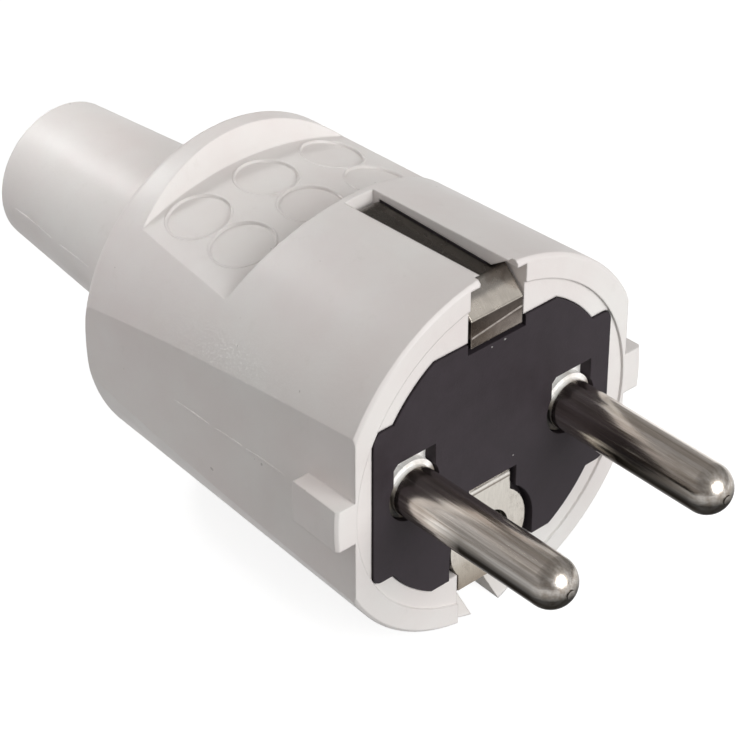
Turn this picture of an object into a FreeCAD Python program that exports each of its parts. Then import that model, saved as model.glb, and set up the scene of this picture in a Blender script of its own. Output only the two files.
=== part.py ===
import FreeCAD, Part
import math
import os

import Sketcher

# Rewirable two-pin plug with side earth clips, millimetres.
# X runs along the plug and points out of the pins, Z up through the earth clips.
# The origin is the centre of the engagement face.

SIZES = {
    # housing, outside
    "face_radius": 18.6,
    "face_bevel": 0.3,
    "side_length": 36.3,
    "rear_radius": 16.88,
    "rear_rounding": 1.0,
    "shoulder_distance": 40.2,
    "shoulder_radius": 10.6,
    "neck_start": 42.3,
    "neck_root_radius": 9.2,
    "neck_fillet": 2.6,
    "neck_end_radius": 7.5,
    "housing_length": 62.0,
    "flat_half_width": 16.4,
    "ring_radius": 16.2,
    "ring_step": 0.25,
    "key_half_height": 2.15,
    "key_length": 6.0,
    # housing, slots over the earth clips
    "slot_half_width": 1.7,
    "slot_length": 17.75,
    "channel_half_height": 17.05,
    "upper_mouth_half_width": 2.2,
    "clip_room_half_width": 3.3,
    "clip_cover_height": 17.8,
    "lower_mouth_half_width": 4.0,
    "mouth_lip": 0.5,
    "mouth_chamfer": 2.2,
    # housing, label recess on the top
    "label_front": 19.5,
    "label_rear": 34.0,
    "label_floor_height": 14.0,
    "label_tool_depth": 4.0,
    "label_floor_radius": 37.0,
    "label_half_width": 15.0,
    "label_wall_slope": 0.3,
    "disc_radius": 2.9,
    "disc_depth": 0.25,
    "disc_pitch_along": 6.1,
    "disc_pitch_across": 8.0,
    "disc_first_row": 24.2,
    # housing, inside
    "cavity_length": 34.4,
    "funnel_radius": 12.0,
    "funnel_start": 35.2,
    "funnel_waist": 39.5,
    "funnel_waist_radius": 7.0,
    "funnel_end": 43.0,
    "cord_bore_radius": 4.6,
    "bore_chamfer": 0.6,
    # contact carrier
    "set_back": 0.05,
    "insert_radius": 14.4,
    "insert_half_height": 12.4,
    "ear_half_width": 14.25,
    "ear_half_height": 8.1,
    "ear_round": 1.0,
    "fit_gap": 0.08,
    "head_room": 0.3,
    "end_room": 0.2,
    "front_wall": 1.3,
    "split_distance": 16.85,
    "back_thickness": 7.15,
    "rail_half_width": 3.2,
    "window_half_width": 2.45,
    "window_height": 3.85,
    "window_chamfer": 0.5,
    # pins and their terminals
    "pin_radius": 2.4,
    "pin_reach": 19.0,
    "pip_radius": 0.45,
    "pip_height": 0.1,
    "pin_spacing": 19.0,
    "pin_hole_radius": 2.95,
    "collar_radius": 2.85,
    "collar_thickness": 0.8,
    "tail_radius": 1.9,
    "tail_length": 5.0,
    "block_half_width": 2.7,
    "block_bottom": 3.25,
    "block_top": 4.65,
    "block_length": 14.95,
    "block_chamfer": 0.35,
    "wire_hole_radius": 1.75,
    "wire_hole_height": 0.8,
    "wire_hole_length": 9.45,
    "wire_room": 0.5,
    "screw_from_rear": 4.6,
    # terminal screws and wire guards
    "screw_radius": 1.5,
    "screw_head_radius": 2.5,
    "screw_head_height": 1.7,
    "screw_head_gap": 0.7,
    "screw_slot_width": 0.7,
    "screw_slot_depth": 0.8,
    "thread_gap": 0.03,
    "guard_thickness": 0.25,
    "guard_half_width": 1.1,
    "guard_drop": 1.0,
    "guard_length": 6.5,
    "guard_upstand": 2.6,
    "short_guard_length": 4.6,
    "short_guard_upstand": 2.0,
    # earth bow
    "strip_thickness": 0.8,
    "strip_half_width": 1.6,
    "strip_reach": 16.9,
    "bend_radius": 1.2,
    "clip_half_width": 3.05,
    "clip_length": 2.8,
    "clip_slope": 2.3,
    "clip_foot": 11.8,
    "clip_side_room": 0.4,
    "clip_foot_room": 0.5,
    "bow_front": 0.1,
    "bow_base_half_width": 3.0,
    "bow_base_half_height": 12.2,
    "plate_set_back": 0.35,
    "plate_half_width": 3.6,
    "plate_disc_radius": 4.6,
    "plate_neck_half_width": 2.6,
    "plate_top": 3.7,
    "tongue_length": 3.5,
    "tongue_bend_radius": 1.0,
    # female earth contact
    "earth_drop": 10.0,
    "sleeve_inner_radius": 2.45,
    "sleeve_thickness": 0.45,
    "sleeve_end_thickness": 0.95,
    "sleeve_slit": 0.7,
    "sleeve_slit_length": 10.0,
    "opening_disc_radius": 5.15,
    "opening_neck_half_width": 2.9,
    "opening_top": 3.45,
    "rivet_radius": 0.9,
    "rivet_head_radius": 1.6,
    "rivet_head_height": 0.5,
    # earth terminal
    "earth_block_half_width": 2.9,
    "earth_block_bottom": 3.0,
    "earth_block_top": 9.0,
    "earth_block_length": 5.8,
    "earth_wire_height": 5.2,
    "earth_wire_stop": 1.0,
    "spigot_radius": 1.4,
    "spigot_height": 6.0,
    "spigot_projection": 0.3,
    # carrier screws
    "carrier_screw_spread": 7.5,
    "carrier_screw_drop": 9.0,
    "carrier_screw_length": 11.0,
    "carrier_screw_sink": 2.2,
    # cord clamp
    "clamp_bed_half_width": 10.4,
    "clamp_bed_bottom": 9.5,
    "clamp_bed_length": 10.2,
    "clamp_half_width": 10.2,
    "clamp_top": 5.2,
    "clamp_length": 6.0,
    "clamp_from_end": 1.0,
    "clamp_joint_drop": 0.4,
    "clamp_crown_half_width": 4.9,
    "clamp_shoulder": 2.6,
    "clamp_crown_slope": 1.5,
    "cord_space_radius": 3.9,
    "cord_groove_depth": 0.4,
    "cord_groove_width": 1.1,
    "clamp_screw_spread": 7.6,
    "clamp_screw_length": 8.0,
}

doc = FreeCAD.newDocument("plug")
sheet = doc.addObject("Spreadsheet::Sheet", "dims")
for row, (alias, number) in enumerate(SIZES.items(), start=1):
    sheet.set(f"A{row}", alias)
    sheet.set(f"B{row}", str(number))
    sheet.setAlias(f"B{row}", alias)
doc.recompute()


class Size:
    """A number together with the sheet expression that it comes from."""

    def __init__(self, value, text):
        self.value = value
        self.text = text

    def join(self, other, sign, result):
        return Size(result, f"({self.text} {sign} {other.text})")

    def __add__(self, other):
        other = size(other)
        return self.join(other, "+", self.value + other.value)

    def __sub__(self, other):
        other = size(other)
        return self.join(other, "-", self.value - other.value)

    def __mul__(self, other):
        other = size(other)
        return self.join(other, "*", self.value * other.value)

    def __truediv__(self, other):
        other = size(other)
        return self.join(other, "/", self.value / other.value)

    def __radd__(self, other):
        return size(other) + self

    def __rsub__(self, other):
        return size(other) - self

    def __rmul__(self, other):
        return size(other) * self

    def __neg__(self):
        return Size(-self.value, f"(0 - {self.text})")


def size(item):
    """A plain number, a sheet alias or a Size, as a Size."""
    if isinstance(item, Size):
        return item
    if isinstance(item, str):
        return Size(float(SIZES[item]), f"dims.{item}")
    return Size(float(item), str(item))


def root(item):
    """Square root of a Size."""
    return Size(math.sqrt(item.value), f"sqrt({item.text})")


def half_chord(radius, offset):
    """Half the chord of a circle at a distance from its centre."""
    radius = size(radius)
    offset = size(offset)
    return root(radius * radius - offset * offset)


def bind(item, prop, amount):
    """Tie a property to the sheet."""
    amount = size(amount)
    item.setExpression(prop, amount.text)


def put(item, x=0, y=0, z=0):
    """Tie an object's place to the sheet."""
    for axis, amount in (("x", x), ("y", y), ("z", z)):
        bind(item, f"Placement.Base.{axis}", amount)


# Sketches and features

PLANES = {"XY": "XY_Plane", "XZ": "XZ_Plane", "YZ": "YZ_Plane"}
LEFT = 1
RIGHT = -1
SMALLEST_CUT = 1e-6


def new_body(name):
    body = doc.addObject("PartDesign::Body", name)
    body.Label = name
    return body


def sketch_on(body, plane, offset, name):
    """An empty sketch on one of the body's own planes, moved along the plane's normal."""
    support = [f for f in body.Origin.OriginFeatures if f.Role == PLANES[plane]][0]
    sketch = body.newObject("Sketcher::SketchObject", name)
    sketch.AttachmentSupport = [(support, "")]
    sketch.MapMode = "FlatFace"
    bind(sketch, "AttachmentOffset.Base.z", offset)
    return sketch


def pin_down(sketch, geometry, position, name, point):
    """Hold one point of a sketch at a place given by the sheet."""
    for axis, amount in (("X", size(point[0])), ("Y", size(point[1]))):
        index = sketch.addConstraint(
            Sketcher.Constraint("Distance" + axis, -1, 1, geometry, position, amount.value))
        sketch.renameConstraint(index, f"{name}{axis}")
        sketch.setExpression(f"Constraints.{name}{axis}", amount.text)


def outline(body, plane, offset, name, corners):
    """Closed profile through corners (x, y) or (x, y, radius, turn).

    A corner with a radius starts an arc to the next corner, which turns LEFT or RIGHT.
    """
    sketch = sketch_on(body, plane, offset, name)
    points = [FreeCAD.Vector(size(c[0]).value, size(c[1]).value, 0) for c in corners]
    count = len(corners)
    starts = []
    for index, corner in enumerate(corners):
        first = points[index]
        last = points[(index + 1) % count]
        if len(corner) == 2:
            sketch.addGeometry(Part.LineSegment(first, last))
            starts.append(1)
            continue
        radius = size(corner[2]).value
        turn = corner[3]
        chord = last - first
        to_left = FreeCAD.Vector(-chord.y, chord.x, 0).normalize()
        depth = math.sqrt(max(radius ** 2 - chord.Length ** 2 / 4, 0))
        centre = (first + last) * 0.5 + to_left * depth * turn
        ends = (first, last) if turn == LEFT else (last, first)
        begin, finish = [math.atan2(p.y - centre.y, p.x - centre.x) for p in ends]
        if finish < begin:
            finish += 2 * math.pi
        circle = Part.Circle(centre, FreeCAD.Vector(0, 0, 1), radius)
        sketch.addGeometry(Part.ArcOfCircle(circle, begin, finish))
        starts.append(1 if turn == LEFT else 2)
    for index in range(count):
        following = (index + 1) % count
        sketch.addConstraint(Sketcher.Constraint(
            "Coincident", index, 3 - starts[index], following, starts[following]))
    for index, corner in enumerate(corners):
        pin_down(sketch, index, starts[index], f"p{index}", corner)
        if len(corner) == 4:
            radius = size(corner[2])
            item = sketch.addConstraint(Sketcher.Constraint("Radius", index, radius.value))
            sketch.renameConstraint(item, f"r{index}")
            sketch.setExpression(f"Constraints.r{index}", radius.text)
    return sketch


def circles(body, plane, offset, name, centres, radius):
    """Sketch of equal circles."""
    sketch = sketch_on(body, plane, offset, name)
    radius = size(radius)
    for index, centre in enumerate(centres):
        middle = FreeCAD.Vector(size(centre[0]).value, size(centre[1]).value, 0)
        sketch.addGeometry(Part.Circle(middle, FreeCAD.Vector(0, 0, 1), radius.value))
        pin_down(sketch, index, 3, f"c{index}", centre)
        item = sketch.addConstraint(Sketcher.Constraint("Radius", index, radius.value))
        sketch.renameConstraint(item, f"r{index}")
        sketch.setExpression(f"Constraints.r{index}", radius.text)
    return sketch


def rectangle(left, bottom, right, top):
    return [(left, bottom), (right, bottom), (right, top), (left, top)]


def bevelled(left, bottom, right, top, bevel):
    """Rectangle with its corners cut off at 45 degrees."""
    left, bottom, right, top = size(left), size(bottom), size(right), size(top)
    return [
        (left + bevel, bottom), (right - bevel, bottom), (right, bottom + bevel),
        (right, top - bevel), (right - bevel, top), (left + bevel, top),
        (left, top - bevel), (left, bottom + bevel)]


def add_feature(body, kind, name, sketch):
    feature = body.newObject(kind, name)
    feature.Profile = sketch
    sketch.Visibility = False
    return feature


def pad(body, sketch, length, backwards=False, both=False):
    """Add material along the sketch's normal, or against it, or half to each side."""
    feature = add_feature(body, "PartDesign::Pad", sketch.Name + "_pad", sketch)
    bind(feature, "Length", length)
    feature.Reversed = backwards
    if both:
        feature.SideType = "Symmetric"
    return feature


CUTS = []


def pocket(body, sketch, length, along=False, both=False):
    """Cut against the sketch's normal, or along it, or half to each side."""
    feature = add_feature(body, "PartDesign::Pocket", sketch.Name + "_cut", sketch)
    bind(feature, "Length", length)
    feature.Reversed = along
    if both:
        feature.SideType = "Symmetric"
    CUTS.append(feature)
    return feature


def revolve(body, sketch, axis="H_Axis"):
    feature = add_feature(body, "PartDesign::Revolution", sketch.Name + "_turned", sketch)
    feature.ReferenceAxis = (sketch, [axis])
    feature.Angle = 360
    return feature


def groove(body, sketch):
    feature = add_feature(body, "PartDesign::Groove", sketch.Name + "_cut", sketch)
    feature.ReferenceAxis = (sketch, ["H_Axis"])
    feature.Angle = 360
    CUTS.append(feature)
    return feature


def check_cuts():
    """A cut that points away from the solid removes nothing and shows no error."""
    for feature in CUTS:
        if feature.BaseFeature.Shape.Volume - feature.Shape.Volume < SMALLEST_CUT:
            raise RuntimeError(f"{feature.Name} cuts nothing")


def upright_cylinder(name, radius, bottom, top, x=0, y=0):
    item = doc.addObject("Part::Cylinder", name)
    bind(item, "Radius", radius)
    bind(item, "Height", size(top) - bottom)
    put(item, x, y, bottom)
    return item


def lying_cylinder(name, radius, rear, front, z):
    """Cylinder along X."""
    item = doc.addObject("Part::Cylinder", name)
    bind(item, "Radius", radius)
    bind(item, "Height", size(front) - rear)
    item.Placement.Rotation = FreeCAD.Rotation(FreeCAD.Vector(0, 1, 0), 90)
    put(item, rear, 0, z)
    return item


def cut(name, base, tool):
    item = doc.addObject("Part::Cut", name)
    item.Base = base
    item.Tool = tool
    return item


def joined(name, items):
    item = doc.addObject("Part::MultiFuse", name)
    item.Shapes = items
    return item


PIECES = {}


def piece(name, item):
    """Name a finished sub-part."""
    item.Label = name
    PIECES[name] = item
    return item


# Values that several pieces share

PAST = 1.0
MARGIN = 3.0
MITRE_45 = math.tan(math.radians(45 / 2))

gap = size("fit_gap")
face = -size("set_back")
pin_side = size("pin_spacing") / 2
split = size("split_distance")
carrier_end = split + "back_thickness"
strip_top = size("strip_reach")
strip_bottom = strip_top - "strip_thickness"
block_front = size("set_back") + "front_wall"
block_rear = block_front + "block_length"
bow_rear = split + "strip_thickness"
screw_place = block_rear - "screw_from_rear"
inner_bend = size("bend_radius") - "strip_thickness"
plate_front = size("bow_front") + "plate_set_back"
plate_rear = plate_front + "strip_thickness"
ridge = strip_top - "clip_slope"
mitre = size("strip_thickness") * MITRE_45
clip_inside = size("clip_slope") + mitre
clip_end = plate_front + "clip_length"
rivet_hole = size("rivet_radius") + "thread_gap"


def insert_outline(spread):
    """Front view of the contact carrier, grown by a clearance: a circle with its top and
    bottom cut flat, and a round-cornered ear at each side."""
    radius = size("insert_radius") + spread
    top = size("insert_half_height") + spread
    side = size("ear_half_width") + spread
    ear = size("ear_half_height") + spread
    bend = size("ear_round")
    top_y = half_chord(radius, top)
    ear_y = half_chord(radius, ear)
    quarter = [
        (top_y, top, radius, RIGHT),
        (ear_y, ear),
        (side - bend, ear, bend, RIGHT),
        (side, ear - bend)]
    corners = list(quarter)
    corners += [
        (side, -(ear - bend), bend, RIGHT),
        (side - bend, -ear),
        (ear_y, -ear, radius, RIGHT),
        (top_y, -top)]
    corners += [
        (-top_y, -top, radius, RIGHT),
        (-ear_y, -ear),
        (-(side - bend), -ear, bend, RIGHT),
        (-side, -(ear - bend))]
    corners += [
        (-side, ear - bend, bend, RIGHT),
        (-(side - bend), ear),
        (-ear_y, ear, radius, RIGHT),
        (-top_y, top)]
    return corners


# Housing: one soft moulded sleeve with the cord neck. The rear edge is rounded through
# 60 degrees, into a sloping shoulder that a fillet joins to the neck.

SINE_60 = math.sin(math.radians(60))
COSINE_60 = math.cos(math.radians(60))

shell = new_body("housing_shell")
front_radius = size("face_radius")
rounding = size("rear_rounding")
revolve(shell, outline(shell, "XY", 0, "housing_side", [
    (0, 0),
    (0, front_radius - "face_bevel"),
    (-size("face_bevel"), front_radius),
    (-size("side_length"), "rear_radius", rounding, LEFT),
    (-(size("side_length") + rounding * SINE_60), size("rear_radius") - rounding * COSINE_60),
    (-size("shoulder_distance"), "shoulder_radius", "neck_fillet", RIGHT),
    (-size("neck_start"), "neck_root_radius"),
    (-size("housing_length"), "neck_end_radius"),
    (-size("housing_length"), 0)]))

beyond = front_radius + MARGIN
for side, name in ((1, "left"), (-1, "right")):
    inner = size("flat_half_width") * side
    outer = beyond * side
    for end, level in ((1, "upper"), (-1, "lower")):
        pocket(shell, outline(shell, "YZ", 0, f"flat_{name}_{level}", rectangle(
            inner, size("key_half_height") * end, outer, beyond * end)), "key_length")
    pocket(shell, outline(shell, "YZ", -size("key_length"), f"flat_{name}", rectangle(
        inner, -beyond, outer, beyond)), "side_length")

pocket(shell, circles(shell, "YZ", 0, "inner_face", [(0, 0)], "ring_radius"), "ring_step")
pocket(shell, outline(shell, "YZ", 0, "carrier_room", insert_outline(gap)), "cavity_length")

slot_half = size("slot_half_width")
pocket(shell, outline(shell, "YZ", 0, "clip_slots", rectangle(
    -slot_half, -beyond, slot_half, beyond)), "slot_length")
channel_top = size("channel_half_height")
rail_room = size("rail_half_width") + gap
pocket(shell, outline(shell, "YZ", 0, "rail_room", rectangle(
    -rail_room, -channel_top, rail_room, channel_top)), split + gap)

mouth_end = size("mouth_lip") + "mouth_chamfer"
mouth_floor = size("insert_half_height") - PAST
mouth_rise = (front_radius - channel_top) / "mouth_chamfer"
mouth_over = channel_top + mouth_rise * (mouth_end + PAST)
for end, half_width, name in (
        (1, "upper_mouth_half_width", "upper"), (-1, "lower_mouth_half_width", "lower")):
    pocket(shell, outline(shell, "XZ", 0, f"{name}_mouth", [
        (PAST, mouth_floor * end),
        (PAST, mouth_over * end),
        (-mouth_end, channel_top * end),
        (-mouth_end, mouth_floor * end)]), size(half_width) * 2, both=True)
cover = size("clip_cover_height")
cover_rear = mouth_end - (cover - channel_top) / mouth_rise
pocket(shell, outline(shell, "XZ", 0, "clip_room", [
    (PAST, mouth_floor),
    (PAST, cover),
    (-cover_rear, cover),
    (-mouth_end, channel_top),
    (-mouth_end, mouth_floor)]), size("clip_room_half_width") * 2, both=True)

neck_end = size("housing_length")
bore_mouth = size("cord_bore_radius") + "bore_chamfer"
groove(shell, outline(shell, "XY", 0, "cord_way", [
    (-(size("cavity_length") - PAST), 0),
    (-(size("cavity_length") - PAST), "funnel_radius"),
    (-size("funnel_start"), "funnel_radius"),
    (-size("funnel_waist"), "funnel_waist_radius"),
    (-size("funnel_end"), "cord_bore_radius"),
    (-(neck_end - "bore_chamfer"), "cord_bore_radius"),
    (-neck_end, bore_mouth),
    (-(neck_end + PAST), bore_mouth),
    (-(neck_end + PAST), 0)]))

# Label recess on the housing: sloping end walls and a gently crowned floor with six discs

label = new_body("label_wedge")
floor_height = size("label_floor_height")
floor_drop = size("label_tool_depth")
slope = size("label_wall_slope")
low = floor_height - floor_drop
high = front_radius + MARGIN
run_low = slope * floor_drop
run_high = slope * (high - floor_height)
pad(label, outline(label, "XZ", 0, "label_side", [
    (-(size("label_rear") - run_low), low),
    (-(size("label_front") + run_low), low),
    (-(size("label_front") - run_high), high),
    (-(size("label_rear") + run_high), high)]), size("label_half_width") * 2, both=True)
floor_radius = size("label_floor_radius")
floor_centre = floor_height - floor_radius
crown = lying_cylinder("label_crown", floor_radius, -neck_end, 0, floor_centre)
recess = cut("label_recess", label, crown)

discs = []
for row in range(2):
    for column in (-1, 0, 1):
        along = -(size("disc_first_row") + size("disc_pitch_along") * row)
        across = size("disc_pitch_across") * column
        discs.append(upright_cylinder(
            f"disc_{row}_{column + 1}", "disc_radius", low, floor_height, along, across))
disc_crown = lying_cylinder(
    "disc_crown", floor_radius - "disc_depth", -neck_end, 0, floor_centre)
disc_cuts = cut("disc_cuts", joined("discs", discs), disc_crown)
piece("housing", cut("housing", shell, joined("label_tools", [recess, disc_cuts])))


# Contact carrier, front half: black moulding with the pin chambers and the clip rails

front = new_body("carrier_front")
front_depth = split - "set_back"
pad(front, outline(front, "YZ", face, "carrier_face", insert_outline(0)), front_depth, True)
rail_half = size("rail_half_width")
rail_top = channel_top - gap
rail_start = clip_end + gap
pad(front, outline(front, "YZ", -rail_start, "rails", rectangle(
    -rail_half, -rail_top, rail_half, rail_top)), split - rail_start, True)
clip_back = ridge - mitre - gap
pad(front, outline(front, "YZ", -(plate_rear + gap), "clip_shelves", rectangle(
    -rail_half, -clip_back, rail_half, clip_back)), rail_start - (plate_rear + gap), True)
groove_half = size("strip_half_width") + gap
for end, name in ((1, "upper"), (-1, "lower")):
    pocket(front, outline(front, "YZ", face, f"{name}_strip_groove", rectangle(
        -groove_half, strip_bottom * end, groove_half, (rail_top + PAST) * end)), split)
    pocket(front, outline(front, "XZ", 0, f"{name}_bend_relief", rectangle(
        -(split + PAST), (strip_bottom - inner_bend - gap) * end,
        -(split - inner_bend - gap), (strip_bottom + gap) * end)), groove_half * 2, both=True)

notch_half = size("clip_half_width") + "clip_side_room"
pocket(front, outline(front, "YZ", face, "upper_clip_notch", rectangle(
    -notch_half, size("clip_foot") - "clip_foot_room", notch_half, strip_top)),
    plate_rear + gap - "set_back")

earth_level = -size("earth_drop")
opening_radius = size("opening_disc_radius")
opening_neck = size("opening_neck_half_width")
neck_join = earth_level + half_chord(opening_radius, opening_neck)
opening_low = -(size("insert_half_height") + PAST * 2)
opening_depth = plate_rear + gap - "set_back"
pocket(front, outline(front, "YZ", face, "earth_opening", [
    (-opening_radius, opening_low),
    (opening_radius, opening_low),
    (opening_radius, earth_level, opening_radius, LEFT),
    (opening_neck, neck_join),
    (opening_neck, -size("opening_top")),
    (-opening_neck, -size("opening_top")),
    (-opening_neck, neck_join, opening_radius, LEFT),
    (-opening_radius, earth_level)]), opening_depth)
sleeve_outer = size("sleeve_inner_radius") + "sleeve_thickness"
pocket(front, circles(front, "YZ", face, "sleeve_chamber", [(0, earth_level)],
                      sleeve_outer + gap), front_depth)
tongue_room = plate_front + "tongue_length" + "head_room"
pocket(front, outline(front, "YZ", face, "tongue_room", rectangle(
    -opening_neck, earth_level, opening_neck, -size("opening_top"))), tongue_room)

pin_centres = [(-pin_side, 0), (pin_side, 0)]
pocket(front, circles(front, "YZ", face, "pin_holes", pin_centres, "pin_hole_radius"),
       "front_wall")
window = size("window_half_width")
window_top = size("window_height")
bevel = size("window_chamfer")
for side, name in ((-1, "left"), (1, "right")):
    middle = pin_side * side
    pocket(front, outline(front, "YZ", face, f"window_{name}", [
        (middle - window, 0),
        (middle + window, 0),
        (middle + window, window_top),
        (middle - window + bevel, window_top),
        (middle - window, window_top - bevel)]), "front_wall")
    half = size("block_half_width") + gap
    pocket(front, outline(front, "YZ", -block_front, f"chamber_{name}", rectangle(
        middle - half, -(size("block_bottom") + gap),
        middle + half, size("block_top") + gap)), front_depth)
screw_centres = [(-screw_place, -pin_side), (-screw_place, pin_side)]
pocket(front, circles(front, "XY", size("insert_half_height") + PAST, "screw_access",
                      screw_centres, size("screw_head_radius") + "head_room"),
       size("insert_half_height"))

carrier_screw_centres = [
    (size("carrier_screw_spread"), -size("carrier_screw_drop")),
    (-size("carrier_screw_spread"), -size("carrier_screw_drop"))]
shank_room = size("screw_radius") + "thread_gap"
screw_bite = size("carrier_screw_length") - (size("back_thickness") - "carrier_screw_sink")
pocket(front, circles(front, "YZ", -split, "carrier_screw_pilots", carrier_screw_centres,
                      shank_room), screw_bite + "end_room", along=True)
pocket(front, circles(front, "YZ", -split, "spigot_room", [(0, "spigot_height")],
                      size("spigot_radius") + "head_room"),
       size("spigot_projection") + "end_room", along=True)
piece("carrier_front", front)


# Contact carrier, rear half: closes the chambers and carries the cord clamp

back = new_body("carrier_back")
pad(back, outline(back, "YZ", -split, "back_face", insert_outline(0)), "back_thickness", True)
bed_half = size("clamp_bed_half_width")
joint_level = -size("clamp_joint_drop")
pad(back, outline(back, "YZ", -carrier_end, "clamp_bed", rectangle(
    -bed_half, -size("clamp_bed_bottom"), bed_half, joint_level)), "clamp_bed_length", True)
base_half = size("bow_base_half_width") + gap
past_top = size("insert_half_height") + PAST
pocket(back, outline(back, "YZ", -split, "bow_base_room", rectangle(
    -base_half, -past_top, base_half, past_top)), size("strip_thickness") + gap)
earth_half = size("earth_block_half_width") + gap
pocket(back, outline(back, "YZ", -split, "earth_terminal_room", rectangle(
    -earth_half, size("earth_block_bottom") - gap, earth_half, past_top)), "back_thickness")
pocket(back, circles(back, "YZ", -split, "wire_ways", [
    (-pin_side, "wire_hole_height"), (pin_side, "wire_hole_height")],
    size("wire_hole_radius") + "wire_room"), "back_thickness")
pocket(back, circles(back, "YZ", -split, "carrier_screw_holes", carrier_screw_centres,
                     size("screw_radius") + gap), "back_thickness")
pocket(back, circles(back, "YZ", -(carrier_end - "carrier_screw_sink"), "carrier_screw_seats",
                     carrier_screw_centres, size("screw_head_radius") + "end_room"),
       size("carrier_screw_sink") + "clamp_bed_length")
pocket(back, circles(back, "YZ", -split, "rivet_room", [(0, earth_level)],
                     size("rivet_head_radius") + "head_room"),
       size("strip_thickness") + "rivet_head_height" + "end_room")
pocket(back, circles(back, "YZ", -carrier_end, "cord_trough", [(0, 0)],
                     "cord_space_radius"), "clamp_bed_length")
clamp_middle = (
    carrier_end + "clamp_bed_length" - size("clamp_length") / 2 - "clamp_from_end")
clamp_screw_centres = [
    (-clamp_middle, -size("clamp_screw_spread")), (-clamp_middle, size("clamp_screw_spread"))]
piece("carrier_back", back)

# Cord clamp: an arched bridge with grip grooves, over the trough of the rear half

clamp = new_body("cord_clamp")
crown_half = size("clamp_crown_half_width")
clamp_half = size("clamp_half_width")
shoulder = size("clamp_shoulder")
clamp_front = clamp_middle - size("clamp_length") / 2
pad(clamp, outline(clamp, "YZ", -clamp_front, "clamp_arch", [
    (-clamp_half, joint_level),
    (clamp_half, joint_level),
    (clamp_half, shoulder),
    (crown_half, shoulder),
    (crown_half - "clamp_crown_slope", "clamp_top"),
    (-(crown_half - "clamp_crown_slope"), "clamp_top"),
    (-crown_half, shoulder),
    (-clamp_half, shoulder)]), "clamp_length", True)
pocket(clamp, circles(clamp, "YZ", -clamp_front, "cord_space", [(0, 0)], "cord_space_radius"),
       "clamp_length")
GRIP_GROOVES = 2
for index in range(GRIP_GROOVES):
    step = size("clamp_length") / GRIP_GROOVES
    start = clamp_front + step * index + (step - "cord_groove_width") / 2
    pocket(clamp, circles(clamp, "YZ", -start, f"grip_groove_{index}", [(0, 0)],
                          size("cord_space_radius") + "cord_groove_depth"),
           "cord_groove_width")
pocket(clamp, circles(clamp, "XY", shoulder, "clamp_screw_holes", clamp_screw_centres,
                      size("screw_radius") + gap), shoulder - joint_level)
piece("cord_clamp", clamp)


# Contact pins: turned brass, a collar behind the carrier's face and a staked tail

def pin(name, side):
    body = new_body(name)
    radius = size("pin_radius")
    collar_front = block_front - "collar_thickness"
    tip_centre = size("pin_reach") - "pip_height" - radius
    pip_root = tip_centre + half_chord(radius, "pip_radius")
    revolve(body, outline(body, "XY", 0, f"{name}_side", [
        ("pin_reach", 0),
        ("pin_reach", "pip_radius"),
        (pip_root, "pip_radius", radius, LEFT),
        (tip_centre, radius),
        (-collar_front, radius),
        (-collar_front, "collar_radius"),
        (-block_front, "collar_radius"),
        (-block_front, "tail_radius"),
        (-(block_front + "tail_length"), "tail_radius"),
        (-(block_front + "tail_length"), 0)]))
    put(body, 0, pin_side * side, 0)
    return piece(name, body)


# Terminal block behind each pin: a bevelled bar with wire hole and screw hole

def terminal(name, side):
    body = new_body(name)
    half = size("block_half_width")
    pad(body, outline(body, "YZ", -block_front, f"{name}_bar", bevelled(
        -half, -size("block_bottom"), half, "block_top", "block_chamfer")),
        "block_length", True)
    pocket(body, circles(body, "YZ", -block_front, f"{name}_tail", [(0, 0)],
                         size("tail_radius") + "thread_gap"), "tail_length")
    pocket(body, circles(body, "YZ", -block_rear, f"{name}_wire", [(0, "wire_hole_height")],
                         "wire_hole_radius"), "wire_hole_length", along=True)
    pocket(body, circles(body, "XY", "block_top", f"{name}_thread", [(-screw_place, 0)],
                         shank_room), size("block_top") - "wire_hole_height")
    put(body, 0, pin_side * side, 0)
    return piece(name, body)


# Slotted cheese-head screw, pointing down its own axis, head underside at height 0

def screw(name, length):
    body = new_body(name)
    radius = size("screw_radius")
    head = size("screw_head_radius")
    height = size("screw_head_height")
    revolve(body, outline(body, "XZ", 0, f"{name}_side", [
        (0, -size(length)),
        (radius, -size(length)),
        (radius, 0),
        (head, 0),
        (head, height),
        (0, height)]), "V_Axis")
    slot = size("screw_slot_width") / 2
    slot_reach = head + PAST
    pocket(body, outline(body, "XY", height, f"{name}_slot", rectangle(
        -slot, -slot_reach, slot, slot_reach)), "screw_slot_depth")
    return body


def upright_screw(name, length, x, y, seat):
    body = screw(name, length)
    put(body, x, y, seat)
    return body


def rearward_screw(name, length, x, y, z):
    """Screw whose head faces the rear and whose shank points to the pins."""
    body = screw(name, length)
    body.Placement.Rotation = FreeCAD.Rotation(FreeCAD.Vector(0, 1, 0), -90)
    put(body, x, y, z)
    return body


# Wire guard: a thin leaf between screw and wire, hooked over the block's rear face

def wire_guard(name, rear, wire_level, y, length, upstand):
    body = new_body(name)
    thick = size("guard_thickness")
    leaf_top = size(wire_level) + "guard_drop"
    leaf_front = rear - length
    pad(body, outline(body, "XZ", 0, f"{name}_side", [
        (-(rear + thick), leaf_top - thick),
        (-leaf_front, leaf_top - thick),
        (-leaf_front, leaf_top),
        (-rear, leaf_top),
        (-rear, leaf_top + upstand),
        (-(rear + thick), leaf_top + upstand)]), size("guard_half_width") * 2, both=True)
    put(body, 0, y, 0)
    return piece(name, body)


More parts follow.
